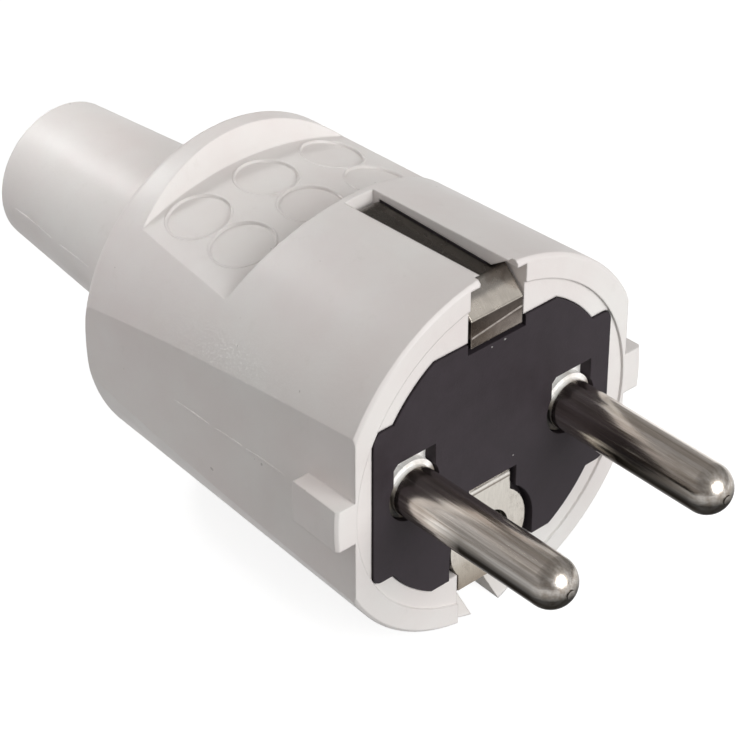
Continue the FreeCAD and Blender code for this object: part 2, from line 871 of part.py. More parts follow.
screw_seat = size("block_top") + "screw_head_gap"
guard_top = size("wire_hole_height") + "guard_drop"
for side, name in ((-1, "left"), (1, "right")):
    pin(f"pin_{name}", side)
    terminal(f"terminal_{name}", side)
    piece(f"terminal_screw_{name}", upright_screw(
        f"terminal_screw_{name}", screw_seat - guard_top, -screw_place, pin_side * side,
        screw_seat))
    wire_guard(f"wire_guard_{name}", block_rear, "wire_hole_height", pin_side * side,
               "guard_length", "guard_upstand")


# Earth bow: one bent strip with two side clips, the upper clip's foot and the lower plate

bow = new_body("earth_bow")
thickness = size("strip_thickness")
strip_half = size("strip_half_width")
nose = size("bow_front")
bend = size("bend_radius")
strip_front = plate_front + clip_inside
pad(bow, outline(bow, "XZ", 0, "bow_side", [
    (-strip_front, -strip_bottom),
    (-(bow_rear - thickness) + inner_bend, -strip_bottom, inner_bend, RIGHT),
    (-(bow_rear - thickness), -(strip_bottom - inner_bend)),
    (-(bow_rear - thickness), strip_bottom - inner_bend, inner_bend, RIGHT),
    (-(bow_rear - thickness) + inner_bend, strip_bottom),
    (-strip_front, strip_bottom),
    (-strip_front, strip_top),
    (-(bow_rear - bend), strip_top, bend, LEFT),
    (-bow_rear, strip_top - bend),
    (-bow_rear, -(strip_top - bend), bend, LEFT),
    (-(bow_rear - bend), -strip_top),
    (-strip_front, -strip_top)]), strip_half * 2, both=True)
base_width = size("bow_base_half_width")
base_height = size("bow_base_half_height")
pad(bow, outline(bow, "YZ", -split, "bow_base", rectangle(
    -base_width, -base_height, base_width, base_height)), thickness, True)

clip_half = size("clip_half_width")
foot = size("clip_foot")
for end, front_x, name in ((1, nose, "upper"), (-1, plate_front, "lower")):
    pad(bow, outline(bow, "XZ", 0, f"{name}_clip", [
        (-clip_end, strip_bottom * end),
        (-(front_x + clip_inside), strip_bottom * end),
        (-(front_x + thickness), (ridge - mitre) * end),
        (-(front_x + thickness), foot * end),
        (-front_x, foot * end),
        (-front_x, ridge * end),
        (-(front_x + "clip_slope"), strip_top * end),
        (-clip_end, strip_top * end)]), clip_half * 2, both=True)

plate_half = size("plate_half_width")
disc = size("plate_disc_radius")
leg_join = earth_level - half_chord(disc, plate_half)
neck_half = size("plate_neck_half_width")
neck_join = earth_level + half_chord(disc, neck_half)
plate_top = -size("plate_top")
plate_bend = size("tongue_bend_radius")
pad(bow, outline(bow, "YZ", -plate_front, "earth_plate", [
    (-plate_half, -ridge),
    (plate_half, -ridge),
    (plate_half, leg_join, disc, LEFT),
    (disc, earth_level, disc, LEFT),
    (neck_half, neck_join),
    (neck_half, plate_top - plate_bend),
    (-neck_half, plate_top - plate_bend),
    (-neck_half, neck_join, disc, LEFT),
    (-disc, earth_level, disc, LEFT),
    (-plate_half, leg_join)]), thickness, True)
pad(bow, outline(bow, "XZ", 0, "earth_tongue", [
    (-plate_front, plate_top - plate_bend, plate_bend, LEFT),
    (-(plate_front + plate_bend), plate_top),
    (-(plate_front + "tongue_length"), plate_top),
    (-(plate_front + "tongue_length"), plate_top - thickness),
    (-(plate_front + plate_bend), plate_top - thickness, plate_bend - thickness, RIGHT),
    (-plate_rear, plate_top - plate_bend)]), neck_half * 2, both=True)
pocket(bow, circles(bow, "YZ", -plate_front, "earth_hole", [(0, earth_level)],
                    "sleeve_inner_radius"), thickness)
pocket(bow, circles(bow, "YZ", -split, "rivet_hole", [(0, earth_level)], rivet_hole),
       thickness)
pocket(bow, circles(bow, "YZ", -split, "spigot_hole", [(0, "spigot_height")],
                    size("spigot_radius") + "thread_gap"), thickness)
piece("earth_bow", bow)


# Female earth contact: a slit sleeve with a closed end, held to the bow by a rivet that is
# spread flush with the end's inner side

socket = new_body("earth_socket")
bore = size("sleeve_inner_radius")
sleeve_front = plate_rear
bore_end = split - "sleeve_end_thickness"
revolve(socket, outline(socket, "XY", 0, "sleeve_side", [
    (-split, rivet_hole),
    (-split, sleeve_outer),
    (-sleeve_front, sleeve_outer),
    (-sleeve_front, bore),
    (-bore_end, bore),
    (-bore_end, rivet_hole)]))
slit = size("sleeve_slit") / 2
slit_reach = sleeve_outer + PAST
pocket(socket, outline(socket, "YZ", -sleeve_front, "sleeve_slit_cut", rectangle(
    -slit, -slit_reach, slit, slit_reach)), "sleeve_slit_length")
put(socket, 0, 0, earth_level)
piece("earth_socket", socket)

rivet = new_body("earth_rivet")
rivet_radius = size("rivet_radius")
rivet_head = size("rivet_head_radius")
head_height = size("rivet_head_height")
revolve(rivet, outline(rivet, "XY", 0, "rivet_side", [
    (-(bow_rear + head_height), 0),
    (-(bow_rear + head_height), rivet_head),
    (-bow_rear, rivet_head),
    (-bow_rear, rivet_radius),
    (-bore_end, rivet_radius),
    (-bore_end, 0)]))
put(rivet, 0, 0, earth_level)
piece("earth_rivet", rivet)

# Earth terminal: a block riveted to the bow by its own spigot

earth_block = new_body("earth_terminal")
earth_rear = bow_rear + "earth_block_length"
earth_block_half = size("earth_block_half_width")
pad(earth_block, outline(earth_block, "YZ", -bow_rear, "earth_bar", bevelled(
    -earth_block_half, "earth_block_bottom", earth_block_half, "earth_block_top",
    "block_chamfer")), "earth_block_length", True)
pad(earth_block, circles(earth_block, "YZ", -bow_rear, "earth_spigot", [(0, "spigot_height")],
                         "spigot_radius"), thickness + "spigot_projection")
earth_screw_place = earth_rear - size("earth_block_length") / 2
pocket(earth_block, circles(earth_block, "YZ", -earth_rear, "earth_wire", [
    (0, "earth_wire_height")], "wire_hole_radius"),
    size("earth_block_length") - "earth_wire_stop", along=True)
pocket(earth_block, circles(earth_block, "XY", "earth_block_top", "earth_thread", [
    (-earth_screw_place, 0)], shank_room), size("earth_block_top") - "earth_wire_height")
piece("earth_terminal", earth_block)

earth_seat = size("earth_block_top") + "screw_head_gap"
earth_guard_top = size("earth_wire_height") + "guard_drop"
piece("earth_terminal_screw", upright_screw(
    "earth_terminal_screw", earth_seat - earth_guard_top, -earth_screw_place, 0, earth_seat))
wire_guard("wire_guard_earth", earth_rear, "earth_wire_height", 0,
           "short_guard_length", "short_guard_upstand")


# Screws that hold the two carrier halves together, and the cord clamp's screws

carrier_seat = carrier_end - "carrier_screw_sink"
carrier_pair = [
    rearward_screw(f"carrier_screw_{index}", "carrier_screw_length", -carrier_seat,
                   centre[0], centre[1])
    for index, centre in enumerate(carrier_screw_centres)]
clamp_pair = [
    upright_screw(f"clamp_screw_{index}", "clamp_screw_length", centre[0], centre[1], shoulder)
    for index, centre in enumerate(clamp_screw_centres)]
for name, pair in (("carrier_screws", carrier_pair), ("cord_clamp_screws", clamp_pair)):
    group = doc.addObject("Part::Compound", name)
    group.Links = pair
    piece(name, group)

pocket(back, circles(back, "XY", joint_level, "clamp_screw_pilots", clamp_screw_centres,
                     shank_room),
       size("clamp_screw_length") - (shoulder - joint_level) + "end_room")


# Check and write

doc.recompute()
check_cuts()
for item in doc.Objects:
    if "Invalid" in item.State or "Error" in item.State:
        raise RuntimeError(f"{item.Name} failed: {item.State}")
os.makedirs("parts", exist_ok=True)
for name, item in PIECES.items():
    shape = item.Shape
    if shape.isNull() or not shape.isValid():
        raise RuntimeError(f"{name} has no valid shape")
    shape.exportStep(f"parts/{name}.step")
    print(name, len(shape.Solids), round(shape.Volume, 1))
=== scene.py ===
import math

import bpy
import numpy as np
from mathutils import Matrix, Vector


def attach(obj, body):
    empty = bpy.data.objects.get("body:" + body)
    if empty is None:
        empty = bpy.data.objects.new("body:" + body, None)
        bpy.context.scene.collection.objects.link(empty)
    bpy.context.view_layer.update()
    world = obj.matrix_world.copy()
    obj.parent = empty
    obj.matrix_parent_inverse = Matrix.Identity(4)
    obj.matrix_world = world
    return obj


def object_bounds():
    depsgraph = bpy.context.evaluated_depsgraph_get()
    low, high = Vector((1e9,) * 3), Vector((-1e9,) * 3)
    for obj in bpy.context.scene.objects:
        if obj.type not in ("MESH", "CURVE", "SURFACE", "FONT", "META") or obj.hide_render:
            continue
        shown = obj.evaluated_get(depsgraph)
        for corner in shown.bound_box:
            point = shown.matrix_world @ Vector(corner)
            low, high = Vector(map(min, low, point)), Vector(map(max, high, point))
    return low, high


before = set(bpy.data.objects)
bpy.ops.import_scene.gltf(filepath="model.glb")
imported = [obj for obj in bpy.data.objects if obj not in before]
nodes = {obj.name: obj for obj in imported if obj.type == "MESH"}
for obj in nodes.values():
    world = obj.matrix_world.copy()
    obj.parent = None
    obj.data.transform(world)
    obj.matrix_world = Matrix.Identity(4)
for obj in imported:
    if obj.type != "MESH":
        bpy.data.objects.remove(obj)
cad_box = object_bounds()


# The housing is one soft white PVC moulding: sleeve, side keys, shoulder and cord neck.
# Its skin is faintly grained and slightly glossy, a little darker and yellower in patches,
# and it has a few dark specks.

MM = 0.001


def empty_material(name):
    """A node material with only its output and one Principled shader, both linked."""
    material = bpy.data.materials.new(name)
    material.use_nodes = True
    tree = material.node_tree
    tree.nodes.clear()
    output = tree.nodes.new("ShaderNodeOutputMaterial")
    shader = tree.nodes.new("ShaderNodeBsdfPrincipled")
    tree.links.new(shader.outputs["BSDF"], output.inputs["Surface"])
    return material, tree, shader


def object_point(tree, stretch=(1, 1, 1)):
    """The point of the surface in metres, in the plug's own frame, each axis times stretch."""
    place = tree.nodes.new("ShaderNodeTexCoord")
    mapping = tree.nodes.new("ShaderNodeMapping")
    mapping.inputs["Scale"].default_value = stretch
    tree.links.new(place.outputs["Object"], mapping.inputs["Vector"])
    return mapping.outputs["Vector"]


def noise(tree, point, grain, detail=3.0, roughness=0.55):
    """Smooth noise whose lumps are about grain metres across."""
    node = tree.nodes.new("ShaderNodeTexNoise")
    node.inputs["Scale"].default_value = 1.0 / grain
    node.inputs["Detail"].default_value = detail
    node.inputs["Roughness"].default_value = roughness
    tree.links.new(point, node.inputs["Vector"])
    return node.outputs["Fac"]


def ramp(tree, value, stops):
    """A colour that goes through stops, each (position, colour)."""
    node = tree.nodes.new("ShaderNodeValToRGB")
    elements = node.color_ramp.elements
    while len(elements) < len(stops):
        elements.new(0.5)
    for element, (position, colour) in zip(elements, stops):
        element.position = position
        element.color = (*colour, 1)
    tree.links.new(value, node.inputs["Fac"])
    return node.outputs["Color"]


def grey(level):
    """A colour whose three parts are all at one level, from 0 to 1."""
    return (level, level, level)


def blend(tree, amount, first, second, mode="MIX"):
    """Two colours mixed by an amount; a plain tuple is taken as a colour."""
    node = tree.nodes.new("ShaderNodeMix")
    node.data_type = "RGBA"
    node.blend_type = mode
    for socket, item in (("Factor_Float", amount), ("A_Color", first), ("B_Color", second)):
        target = [s for s in node.inputs if s.identifier == socket][0]
        if isinstance(item, tuple):
            target.default_value = (*item, 1)
        elif isinstance(item, float):
            target.default_value = item
        else:
            tree.links.new(item, target)
    return [s for s in node.outputs if s.identifier == "Result_Color"][0]


def bump(tree, height, depth, normal=None):
    """A normal bent by a height that runs from 0 to 1 and stands for depth metres."""
    node = tree.nodes.new("ShaderNodeBump")
    node.inputs["Strength"].default_value = 1.0
    node.inputs["Distance"].default_value = depth
    tree.links.new(height, node.inputs["Height"])
    if normal is not None:
        tree.links.new(normal, node.inputs["Normal"])
    return node.outputs["Normal"]


def rounded_edges(tree, radius):
    """Edges shaded as if rounded off by radius metres."""
    node = tree.nodes.new("ShaderNodeBevel")
    node.samples = 6
    node.inputs["Radius"].default_value = radius
    return node.outputs["Normal"]


def paint(node_names, material):
    """Gives CAD nodes a material."""
    for name in node_names:
        mesh = nodes[name].data
        mesh.materials.clear()
        mesh.materials.append(material)


def soft_white(name, edge_radius=None):
    """The housing's PVC; without an edge radius its edges aren't rounded."""
    warm_white = (0.785, 0.733, 0.714)
    pale_white = (0.825, 0.808, 0.785)
    soil_colour = (0.66, 0.63, 0.59)
    speck_colour = (0.23, 0.20, 0.18)

    material, tree, shader = empty_material(name)
    point = object_point(tree)
    patches = noise(tree, point, grain=11 * MM, detail=4)
    base = ramp(tree, patches, [(0.3, warm_white), (0.7, pale_white)])
    soil_point = object_point(tree, stretch=(1, 1, 0.6))
    soil = noise(tree, soil_point, grain=2.2 * MM, detail=6, roughness=0.7)
    soil_amount = ramp(tree, soil, [(0.60, grey(0)), (0.80, grey(0.35))])
    base = blend(tree, soil_amount, base, soil_colour)
    speck = noise(tree, point, grain=0.9 * MM, detail=1)
    speck_amount = ramp(tree, speck, [(0.80, grey(0)), (0.82, grey(0.4))])
    base = blend(tree, speck_amount, base, speck_colour)
    tree.links.new(base, shader.inputs["Base Color"])

    sheen_patches = noise(tree, point, grain=3 * MM)
    sheen = ramp(tree, sheen_patches, [(0.3, grey(0.34)), (0.7, grey(0.46))])
    tree.links.new(sheen, shader.inputs["Roughness"])

    edges = rounded_edges(tree, edge_radius) if edge_radius else None
    skin_waves = noise(tree, point, grain=2.6 * MM, detail=2)
    skin = bump(tree, skin_waves, depth=0.035 * MM, normal=edges)
    fine_grain = noise(tree, point, grain=0.22 * MM, detail=2)
    skin = bump(tree, fine_grain, depth=0.009 * MM, normal=skin)
    tree.links.new(skin, shader.inputs["Normal"])
    return material


paint(["housing"], soft_white("soft_white_pvc", edge_radius=0.24 * MM))


# The housing's mould closes at mid height: short lumpy runs of flash stand on both flats and
# along the neck. Each is an elliptic thread that follows the moulding's skin.

scene = bpy.context.scene


def add_mesh(name, points, faces, material):
    """A smooth-shaded object from numpy points (n, 3) in metres and quads or triangles."""
    mesh = bpy.data.meshes.new(name)
    mesh.from_pydata(points.tolist(), [], [tuple(face) for face in faces])
    mesh.shade_smooth()
    mesh.materials.append(material)
    item = bpy.data.objects.new(name, mesh)
    scene.collection.objects.link(item)
    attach(item, "root")


def thread(name, path, across, outward, half_width, height, material):
    """Closed thread along a path: at each point p the ring is
    p + half_width cos(t) across + height sin(t) outward, t from 0 to 2 pi.
    """
    sides = 10
    turns = np.linspace(0, 2 * np.pi, sides, endpoint=False)
    rings = (path[:, None]
             + across[:, None] * (half_width[:, None] * np.cos(turns))[..., None]
             + outward[:, None] * (height[:, None] * np.sin(turns))[..., None])
    corner = np.arange(len(path) * sides).reshape(len(path), sides)
    following = np.roll(corner, -1, axis=1)
    faces = np.stack([corner[:-1], following[:-1], following[1:], corner[1:]], -1)
    faces = faces.reshape(-1, 4)
    first_cap = corner[0, ::-1]
    last_cap = corner[-1]
    turned_inwards = np.cross(across[0], outward[0]) @ (path[1] - path[0]) < 0
    if turned_inwards:
        faces = faces[:, ::-1]
        first_cap = first_cap[::-1]
        last_cap = last_cap[::-1]
    add_mesh(name, rings.reshape(-1, 3), [*faces.tolist(), first_cap, last_cap], material)


def on_skin(node, start, toward):
    """Where a line from start meets a CAD node, and the skin's normal there."""
    _, place, normal, _ = nodes[node].ray_cast(Vector(start), Vector(toward))
    return np.array(place), np.array(normal)


thread_paint = soft_white("soft_white_threads")

# Where each run starts and ends on X, in millimetres.
flash_runs = {"flat_rear": (-24.2, -19.4), "flat_middle": (-18.6, -14.9),
              "flat_front": (-14.3, -9.1), "neck_front": (-51.5, -46.5),
              "neck_rear": (-59.5, -53.0)}
run_points = 70
beside_plug = 50 * MM
blunt_end = 0.06
lump_pitches = (0.16 * MM, 0.35 * MM, 0.9 * MM)
mean_height = 0.055
height_swing = 0.045
mean_half_width = 0.16
half_width_swing = 0.07
wander = 0.06 * MM
wander_pitch = 2.5 * MM

full_turn = 6.28
phases = np.random.default_rng(7)
for side, hand in ((-1, "left"), (1, "right")):
    for run, (run_start, run_end) in flash_runs.items():
        along = np.linspace(run_start, run_end, run_points) * MM
        found = [on_skin("housing", (x, side * beside_plug, 0), (0, -side, 0)) for x in along]
        path = np.array([place for place, _ in found])
        outward = np.array([normal for _, normal in found])
        across = np.tile([0.0, 0.0, 1.0], (run_points, 1))
        ends = np.sqrt(np.sin(np.linspace(blunt_end, np.pi - blunt_end, run_points)))
        waves = sum(np.sin(along / pitch + phases.uniform(0, full_turn))
                    for pitch in lump_pitches) / len(lump_pitches)
        height = (mean_height + height_swing * waves) * ends * MM
        half_width = (mean_half_width + half_width_swing * waves) * ends * MM
        path[:, 2] += wander * np.sin(along / wander_pitch)
        thread(f"mould_flash_{run}_{hand}", path, across, outward, half_width, height,
               thread_paint)


# Each of the six label discs has a low rolled rim, moulded with the housing. It is a thread
# bent round into a ring that lies on the recess floor.

def ring_thread(name, centre, radius, half_width, height, material):
    """Closed ring p = centre + (radius + half_width cos(t)) (cos u, sin u), raised by
    height sin(t) above the skin, t and u from 0 to 2 pi.
    """
    steps = 72
    sides = 8
    above_plug = 30 * MM
    around = np.linspace(0, 2 * np.pi, steps, endpoint=False)
    turns = np.linspace(0, 2 * np.pi, sides, endpoint=False)
    starts = [(centre[0] + radius * math.cos(u), centre[1] + radius * math.sin(u), above_plug)
              for u in around]
    floor_levels = np.array([on_skin("housing", start, (0, 0, -1))[0][2] for start in starts])
    reach = radius + half_width * np.cos(turns)[None]
    points = np.stack([centre[0] + reach * np.cos(around)[:, None],
                       centre[1] + reach * np.sin(around)[:, None],
                       floor_levels[:, None] + height * np.sin(turns)[None]], -1)
    corner = np.arange(steps * sides).reshape(steps, sides)
    forward = np.roll(corner, -1, axis=0)
    inward = np.roll(corner, -1, axis=1)
    opposite = np.roll(forward, -1, axis=1)
    faces = np.stack([corner, forward, opposite, inward], -1).reshape(-1, 4)
    add_mesh(name, points.reshape(-1, 3), faces.tolist(), material)


disc_radius = 2.9 * MM
disc_rows = (-24.2 * MM, -30.3 * MM)
disc_columns = (-8 * MM, 0, 8 * MM)
rim_half_width = 0.13 * MM
rim_height = 0.05 * MM
for row, x in enumerate(disc_rows):
    for column, y in enumerate(disc_columns):
        ring_thread(f"label_rim_{row}_{column}", (x, y), disc_radius + rim_half_width,
                    rim_half_width, rim_height, thread_paint)


# The contact carrier is a black thermoset moulding in two halves, matt, finely grained and
# a little dusty. Three pale flecks of dust cling to its face.

carrier_paint, tree, shader = empty_material("black_thermoset")
point = object_point(tree)
cloud = noise(tree, point, grain=2.5 * MM, detail=6, roughness=0.6)
base = ramp(tree, cloud, [(0.3, (0.027, 0.021, 0.025)), (0.75, (0.042, 0.034, 0.040))])
dust = noise(tree, point, grain=0.35 * MM, detail=4, roughness=0.7)
dust_amount = ramp(tree, dust, [(0.66, grey(0)), (0.88, grey(0.25))])
dust_colour = (0.16, 0.15, 0.15)
base = blend(tree, dust_amount, base, dust_colour)
tree.links.new(base, shader.inputs["Base Color"])
matt = ramp(tree, cloud, [(0.3, grey(0.55)), (0.7, grey(0.68))])
tree.links.new(matt, shader.inputs["Roughness"])
fine_grain = noise(tree, point, grain=0.16 * MM, detail=3)
edges = rounded_edges(tree, radius=0.12 * MM)
skin = bump(tree, fine_grain, depth=0.02 * MM, normal=edges)
tree.links.new(skin, shader.inputs["Normal"])
shader.inputs["Specular IOR Level"].default_value = 0.17
paint(["carrier_front", "carrier_back", "cord_clamp"], carrier_paint)

fleck_paint, tree, shader = empty_material("pale_dust")
tint = noise(tree, object_point(tree), grain=0.1 * MM)
base = ramp(tree, tint, [(0.3, (0.25, 0.24, 0.23)), (0.7, (0.40, 0.39, 0.38))])
tree.links.new(base, shader.inputs["Base Color"])
shader.inputs["Roughness"].default_value = 0.8


def pebble(name, centre, radii, material):
    """Closed lump: centre + radii * (cos u sin v, sin u sin v, cos v), slightly uneven."""
    around = 10
    down = 6
    unevenness = 0.18
    u = np.linspace(0, 2 * np.pi, around, endpoint=False)
    v = np.linspace(0, np.pi, down + 1)[1:-1]
    uneven = 1 + unevenness * np.sin(3 * u[None, :] + 2 * v[:, None])
    ball = np.stack([np.cos(u)[None] * np.sin(v)[:, None] * uneven,
                     np.sin(u)[None] * np.sin(v)[:, None] * uneven,
                     np.cos(v)[:, None] * uneven], -1).reshape(-1, 3)
    poles = [[0, 0, 1], [0, 0, -1]]
    points = np.vstack([ball, poles]) * radii + centre
    corner = np.arange(around * (down - 1)).reshape(down - 1, around)
    following = np.roll(corner, -1, axis=1)
    faces = np.stack([corner[:-1], corner[1:], following[1:], following[:-1]], -1)
    faces = faces.reshape(-1, 4).tolist()
    top = len(ball)
    bottom = len(ball) + 1
    faces += [[top, a, b] for a, b in zip(corner[0], following[0])]
    faces += [[bottom, b, a] for a, b in zip(corner[-1], following[-1])]
    add_mesh(name, points, faces, material)


# Y, Z and size of each fleck in millimetres.
dust_spots = [(0.97, 11.03, 0.12), (-0.58, 10.92, 0.09), (2.43, -2.16, 0.08)]
fleck_shape = np.array([0.5, 1.2, 0.8])
face_depth = max((nodes["carrier_front"].matrix_world @ Vector(corner)).x
                 for corner in nodes["carrier_front"].bound_box)
for index, (y, z, size) in enumerate(dust_spots):
    pebble(f"dust_{index}", np.array([face_depth, y * MM, z * MM]), fleck_shape * size * MM,
           fleck_paint)


# The pins are turned from brass and nickel-plated. Use has drawn fine marks along them and
# worn the plate brownish; the marks fade out on the tips. Painted reflection darkens a band
# along each pin's underside and a belly under each tip, and the tops are painted lighter. The
# collars that lie behind the pins' roots are matt, with a painted highlight over painted shade.

def along_axis(tree, axis, low, high):
    """0 where a coordinate of the plug's frame is low, 1 where it is high, both in metres."""
    axes = tree.nodes.new("ShaderNodeSeparateXYZ")
    tree.links.new(object_point(tree), axes.inputs["Vector"])
    span = tree.nodes.new("ShaderNodeMapRange")
    span.inputs["From Min"].default_value = low
    span.inputs["From Max"].default_value = high
    tree.links.new(axes.outputs[axis], span.inputs["Value"])
    return span.outputs["Result"]


pin_radius = 2.4 * MM
painted_light_start = 4.5 * MM
painted_light_full = 8.0 * MM
tip_start = 16.4 * MM
tip_full = 17.6 * MM
collar_end = -0.3 * MM
painted_light_in_tint = 0.62

pin_paint, tree, shader = empty_material("nickel_plate_drawn")
fine_marks = noise(tree, object_point(tree, stretch=(0.012, 1, 1)), grain=0.10 * MM, detail=3)
broad_marks = noise(tree, object_point(tree, stretch=(0.022, 1, 1)), grain=0.45 * MM, detail=3)
wear = noise(tree, object_point(tree, stretch=(0.2, 1, 1)), grain=1.3 * MM, detail=5,
             roughness=0.65)
plate = ramp(tree, broad_marks, [(0.36, (0.66, 0.59, 0.52)), (0.64, (0.98, 0.93, 0.87))])
scratches = ramp(tree, fine_marks, [(0.35, grey(0.80)), (0.62, grey(1.0))])
plate = blend(tree, 1.0, plate, scratches, "MULTIPLY")
worn = ramp(tree, wear, [(0.45, grey(0)), (0.70, grey(0.45))])
brown_wear = (0.42, 0.35, 0.27)
plate = blend(tree, worn, plate, brown_wear)

# These ramps' positions run from the pin's lowest line, 0, to its highest, 1, and all three
# paint light and shade into the colour.
pin_height = along_axis(tree, "Z", -pin_radius, pin_radius)
# Painted reflection: a dark band below the pin's middle and a lighter top.
painted_light = ramp(tree, pin_height,
               [(0.20, grey(0.20)), (0.28, grey(0.13)), (0.34, grey(0.045)), (0.44, grey(0.045)),
                (0.50, grey(0.11)), (0.58, grey(0.25)), (0.68, grey(0.40)),
                (0.84, grey(0.62)), (0.90, grey(1.0))])
# Painted reflection on the tips: dark on the underside, lighter on top.
tip_painted_shade = ramp(tree, pin_height,
                 [(0.06, grey(0.55)), (0.15, grey(0.06)), (0.44, grey(0.06)), (0.60, grey(0.45)),
                  (0.75, grey(0.8))])
# The collars are painted bright on top and dark below: a painted highlight over painted shade.
collar_painted_light = ramp(tree, pin_height,
                    [(0.55, (0.02, 0.018, 0.015)), (0.72, (0.50, 0.46, 0.41)),
                     (0.80, (0.97, 0.96, 0.94))])

# The painted reflection begins past the pin's root, and the tip gets its own painted shade.
past_root = ramp(tree, along_axis(tree, "X", painted_light_start, painted_light_full),
                 [(0.0, grey(0)), (1.0, grey(1))])
painted_light = blend(tree, past_root, grey(0.9), painted_light)
at_tip = ramp(tree, along_axis(tree, "X", tip_start, tip_full),
              [(0.0, grey(0)), (1.0, grey(1))])
painted_light = blend(tree, at_tip, painted_light, tip_painted_shade)
# The painted light also darkens the pins' specular tint.
painted_reflection_tint = blend(tree, painted_light_in_tint, grey(1.0), painted_light)
tree.links.new(painted_reflection_tint, shader.inputs["Specular Tint"])
plate = blend(tree, 1.0, plate, painted_light, "MULTIPLY")
in_collar = ramp(tree, along_axis(tree, "X", collar_end, 0), [(0.0, grey(1)), (1.0, grey(0))])
collar_wear = (0.50, 0.43, 0.35)
collar_painted_light = blend(tree, worn, collar_painted_light, collar_wear)
base = blend(tree, in_collar, plate, collar_painted_light)
tree.links.new(base, shader.inputs["Base Color"])

metal = ramp(tree, in_collar, [(0.0, grey(1)), (1.0, grey(0.15))])
tree.links.new(metal, shader.inputs["Metallic"])
frosted = ramp(tree, in_collar, [(0.0, grey(0)), (1.0, grey(0.45))])
polish = ramp(tree, fine_marks, [(0.25, grey(0.12)), (0.75, grey(0.24))])
polish = blend(tree, at_tip, polish, grey(0.27))
polish = blend(tree, 1.0, polish, frosted, "ADD")
tree.links.new(polish, shader.inputs["Roughness"])
skin = bump(tree, fine_marks, depth=0.004 * MM)
worn_smooth = blend(tree, at_tip, broad_marks, grey(0.5))
skin = bump(tree, worn_smooth, depth=0.03 * MM, normal=skin)
tree.links.new(skin, shader.inputs["Normal"])
paint(["pin_left", "pin_right"], pin_paint)


# The earth strip is bent round the carrier, and a drawn sleeve is riveted to it. Both, and
# the wire guards, are nickel-plated sheet with a faint roll grain and dull spots. Bands of
# painted light cross them by height: painted reflection and shade on the clips, painted
# highlights on the earth plate's rolled edge.

strip_paint, tree, shader = empty_material("nickel_plate_rolled")
roll_grain = noise(tree, object_point(tree, stretch=(0.06, 1, 0.06)), grain=0.07 * MM, detail=2)
dull = noise(tree, object_point(tree), grain=1.1 * MM, detail=5, roughness=0.6)
shader.inputs["Metallic"].default_value = 1.0
plate = ramp(tree, roll_grain, [(0.3, (0.70, 0.68, 0.65)), (0.7, (0.78, 0.76, 0.73))])
dull_amount = ramp(tree, dull, [(0.52, grey(0)), (0.78, grey(0.5))])
dull_colour = (0.34, 0.31, 0.28)
plate = blend(tree, dull_amount, plate, dull_colour)

# Each height is in millimetres above the plug's axis, and the bands' ramp runs from
# strip_reach below the axis to strip_reach above it.
strip_reach = 17
# The bands are painted light: painted shade low on the earth plate, painted highlights and dark
# lines on its rolled top edge, dark painted reflection on the clips' fronts with a painted
# highlight along their ridge, and painted reflection, darkest at the top, where the strip lies
# in the slot.
painted_light_bands = [(-15.5, (0.30, 0.25, 0.20)), (-12.0, (0.60, 0.56, 0.50)),
                 (-10.5, (0.76, 0.73, 0.69)), (-4.90, (0.80, 0.78, 0.74)),
                 (-4.80, (0.95, 0.93, 0.90)), (-4.68, (0.22, 0.19, 0.16)),
                 (-4.56, (0.28, 0.24, 0.20)), (-4.48, (1.00, 0.99, 0.97)),
                 (-4.20, (0.95, 0.93, 0.90)), (-4.00, (0.34, 0.30, 0.26)),
                 (-3.70, (0.62, 0.58, 0.52)), (11.7, (0.31, 0.28, 0.26)),
                 (13.0, (0.22, 0.19, 0.175)), (13.3, (0.12, 0.10, 0.088)),
                 (14.5, (0.08, 0.066, 0.058)), (14.65, (1.0, 0.95, 0.88)),
                 (15.6, (0.93, 0.88, 0.82)), (15.9, (0.46, 0.44, 0.42)),
                 (16.6, (0.42, 0.40, 0.38)), (16.85, (0.15, 0.14, 0.13))]
painted_light = ramp(tree, along_axis(tree, "Z", -strip_reach * MM, strip_reach * MM),
               [((height + strip_reach) / (2 * strip_reach), colour)
                for height, colour in painted_light_bands])
base = blend(tree, 1.0, plate, painted_light, "MULTIPLY")
tree.links.new(base, shader.inputs["Base Color"])
polish = ramp(tree, dull, [(0.35, grey(0.17)), (0.75, grey(0.34))])
tree.links.new(polish, shader.inputs["Roughness"])
edges = rounded_edges(tree, radius=0.14 * MM)
skin = bump(tree, roll_grain, depth=0.0015 * MM, normal=edges)
tree.links.new(skin, shader.inputs["Normal"])
paint(["earth_bow", "earth_socket", "wire_guard_left", "wire_guard_right",
       "wire_guard_earth", "earth_rivet"], strip_paint)

# A thin dull fold rib crosses the front of the upper clip, slightly out of level.
fold_paint, tree, shader = empty_material("dull_fold_rib")
wear = noise(tree, object_point(tree), grain=0.4 * MM, detail=3)
shader.inputs["Metallic"].default_value = 0.3
base = ramp(tree, wear, [(0.3, (0.24, 0.21, 0.19)), (0.7, (0.40, 0.36, 0.33))])
tree.links.new(base, shader.inputs["Base Color"])
shader.inputs["Roughness"].default_value = 0.45

fold_points = 24
fold_reach = 3.0 * MM
fold_level = 13.2 * MM
fold_tilt = 0.13
fold_half_width = 0.11 * MM
fold_height = 0.04 * MM
fold_y = np.linspace(-fold_reach, fold_reach, fold_points)
fold_depth = max(corner[0] for corner in nodes["earth_bow"].bound_box)
fold_path = np.stack([np.full(fold_points, fold_depth), fold_y,
                      fold_level + fold_tilt * fold_y], 1)
thread("clip_fold", fold_path, np.tile([0.0, -fold_tilt, 1.0], (fold_points, 1)),
       np.tile([1.0, 0.0, 0.0], (fold_points, 1)), np.full(fold_points, fold_half_width),
       np.full(fold_points, fold_height), fold_paint)


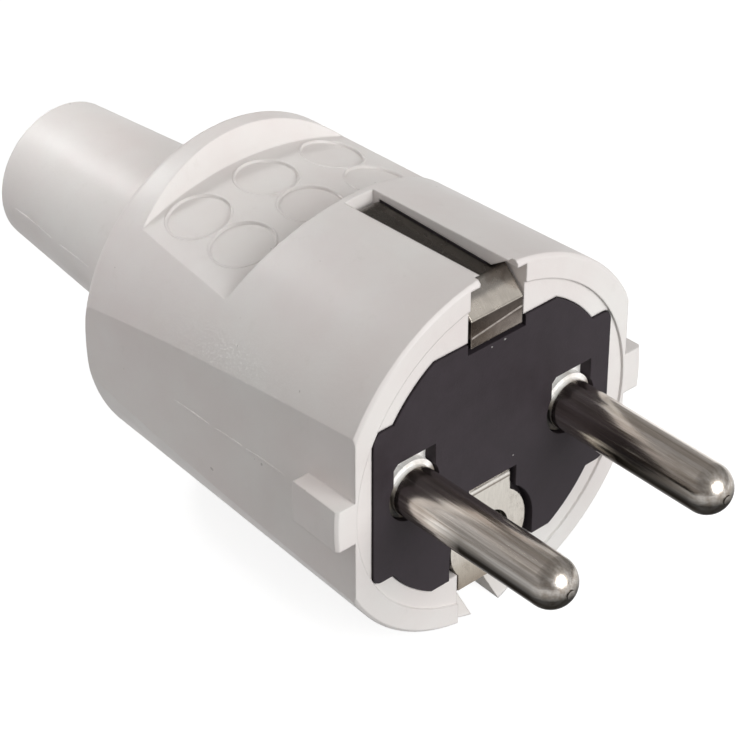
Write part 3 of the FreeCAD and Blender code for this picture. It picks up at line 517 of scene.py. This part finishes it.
# The terminal blocks are cut from plain nickel-plated bar, matt and almost white. Two are
# fixed to the pins' tails, and the third takes the earth wire.

bar_paint, tree, shader = empty_material("matt_nickel_bar")
frosting = noise(tree, object_point(tree), grain=0.5 * MM, detail=4)
shader.inputs["Metallic"].default_value = 0.15
base = ramp(tree, frosting, [(0.3, (0.92, 0.90, 0.88)), (0.7, (0.98, 0.97, 0.96))])
tree.links.new(base, shader.inputs["Base Color"])
shader.inputs["Roughness"].default_value = 0.55
paint(["terminal_left", "terminal_right", "earth_terminal"], bar_paint)


# The screws are zinc-plated steel, faintly blue. They hold the carrier's halves, the wires
# and the cord clamp, and all of them sit inside the housing.

screw_paint, tree, shader = empty_material("zinc_plate")
spangle = noise(tree, object_point(tree), grain=0.4 * MM, detail=3)
shader.inputs["Metallic"].default_value = 1.0
base = ramp(tree, spangle, [(0.3, (0.55, 0.57, 0.60)), (0.7, (0.68, 0.70, 0.72))])
tree.links.new(base, shader.inputs["Base Color"])
shader.inputs["Roughness"].default_value = 0.32
paint(["carrier_screws", "terminal_screw_left", "terminal_screw_right",
       "earth_terminal_screw", "cord_clamp_screws"], screw_paint)


# The studio floor is plain and pale. To the camera and in metal it is white, apart from
# the plug's own soft shadow.

def seen_directly(tree):
    """1 for camera, glossy and transmission rays, 0 for the others."""
    light_path = tree.nodes.new("ShaderNodeLightPath")
    total = light_path.outputs["Is Camera Ray"]
    for kind in ("Is Glossy Ray", "Is Transmission Ray"):
        node = tree.nodes.new("ShaderNodeMath")
        node.operation = "MAXIMUM"
        tree.links.new(total, node.inputs[0])
        tree.links.new(light_path.outputs[kind], node.inputs[1])
        total = node.outputs["Value"]
    return total


floor_level = cad_box[0][2]
floor_reach = 2.0
bounced_grey = grey(0.26)
shadow_grey = grey(0.35)
white_glow = 0.84

floor_mesh = bpy.data.meshes.new("floor")
floor_mesh.from_pydata(
    [(-floor_reach, -floor_reach, floor_level), (floor_reach, -floor_reach, floor_level),
     (floor_reach, floor_reach, floor_level), (-floor_reach, floor_reach, floor_level)],
    [], [(0, 1, 2, 3)])
floor = bpy.data.objects.new("floor", floor_mesh)
scene.collection.objects.link(floor)

floor_paint, tree, shader = empty_material("pale_floor")
output = [node for node in tree.nodes if node.type == "OUTPUT_MATERIAL"][0]
shader.inputs["Base Color"].default_value = (*bounced_grey, 1)
shader.inputs["Roughness"].default_value = 0.9
veil = tree.nodes.new("ShaderNodeBsdfDiffuse")
veil.inputs["Color"].default_value = (*shadow_grey, 1)
glow = tree.nodes.new("ShaderNodeEmission")
glow.inputs["Strength"].default_value = white_glow
white_floor = tree.nodes.new("ShaderNodeAddShader")
tree.links.new(veil.outputs["BSDF"], white_floor.inputs[0])
tree.links.new(glow.outputs["Emission"], white_floor.inputs[1])
mix = tree.nodes.new("ShaderNodeMixShader")
tree.links.new(seen_directly(tree), mix.inputs["Fac"])
tree.links.new(shader.outputs["BSDF"], mix.inputs[1])
tree.links.new(white_floor.outputs["Shader"], mix.inputs[2])
tree.links.new(mix.outputs["Shader"], output.inputs["Surface"])
floor_mesh.materials.append(floor_paint)


# The room is plain: brightest in front of the plug and on its right, dim overhead. One soft
# lamp stands in front, a smaller one behind, and a narrow one lifts the neck.

bright_side = (0.80, 0.30, 0.52)

world = bpy.data.worlds.new("studio")
scene.world = world
world.use_nodes = True
tree = world.node_tree
tree.nodes.clear()
output = tree.nodes.new("ShaderNodeOutputWorld")
direction = tree.nodes.new("ShaderNodeTexCoord")
facing = tree.nodes.new("ShaderNodeVectorMath")
facing.operation = "DOT_PRODUCT"
facing.inputs[1].default_value = bright_side
tree.links.new(direction.outputs["Generated"], facing.inputs[0])
half_range = tree.nodes.new("ShaderNodeMath")
half_range.operation = "MULTIPLY_ADD"
half_range.inputs[1].default_value = 0.5
half_range.inputs[2].default_value = 0.5
tree.links.new(facing.outputs["Value"], half_range.inputs[0])
room_level = ramp(tree, half_range.outputs["Value"],
                  [(0.28, (0.52, 0.500, 0.490)), (0.55, (0.24, 0.230, 0.224)),
                   (0.80, (0.28, 0.272, 0.267)), (0.95, (0.52, 0.515, 0.510))])
room = tree.nodes.new("ShaderNodeBackground")
tree.links.new(room_level, room.inputs["Color"])
tree.links.new(room.outputs["Background"], output.inputs["Surface"])


def lamp(name, place, size, power, aim, spread=180):
    """A round soft lamp at a place in metres, turned towards a point of the plug. A spread
    in degrees below 180 narrows its beam.
    """
    light = bpy.data.lights.new(name, "AREA")
    light.shape = "DISK"
    light.size = size
    light.energy = power
    light.spread = math.radians(spread)
    item = bpy.data.objects.new(name, light)
    scene.collection.objects.link(item)
    item.location = place
    item.rotation_euler = (Vector(aim) - Vector(place)).to_track_quat("-Z", "Y").to_euler()


lamp("key", (0.56, 0.05, 0.28), size=0.50, power=3.2, aim=(-0.01, 0, 0))
lamp("rear", (-0.17, -0.11, 0.08), size=0.14, power=0.045, aim=(-0.035, 0, 0))
lamp("neck", (-0.19, -0.04, 0.15), size=0.06, power=0.0052, aim=(-0.058, 0.001, 0.01), spread=24)


# The camera stands where the photograph was taken from. Its place, its turn and its focal
# length were fitted to the size and the spacing of the pins.

view_turn = math.radians(47.849)
view_rise = math.radians(35.306)
view_distance = 240.94 * MM
view_target = np.array([8.253, -22.422, 23.458]) * MM
focal_pixels = 3095.8
photo_width = 736
back = np.array([
    math.sin(view_turn) * math.cos(view_rise),
    -math.cos(view_turn) * math.cos(view_rise),
    math.sin(view_rise)])
lens = bpy.data.cameras.new("camera")
lens.sensor_width = 36
lens.lens = lens.sensor_width * focal_pixels / photo_width
lens.clip_start = 0.01
camera = bpy.data.objects.new("camera", lens)
camera.location = view_target + back * view_distance
camera.rotation_euler = (math.pi / 2 - view_rise, 0, view_turn)
scene.collection.objects.link(camera)
scene.camera = camera
scene.view_settings.view_transform = "Standard"
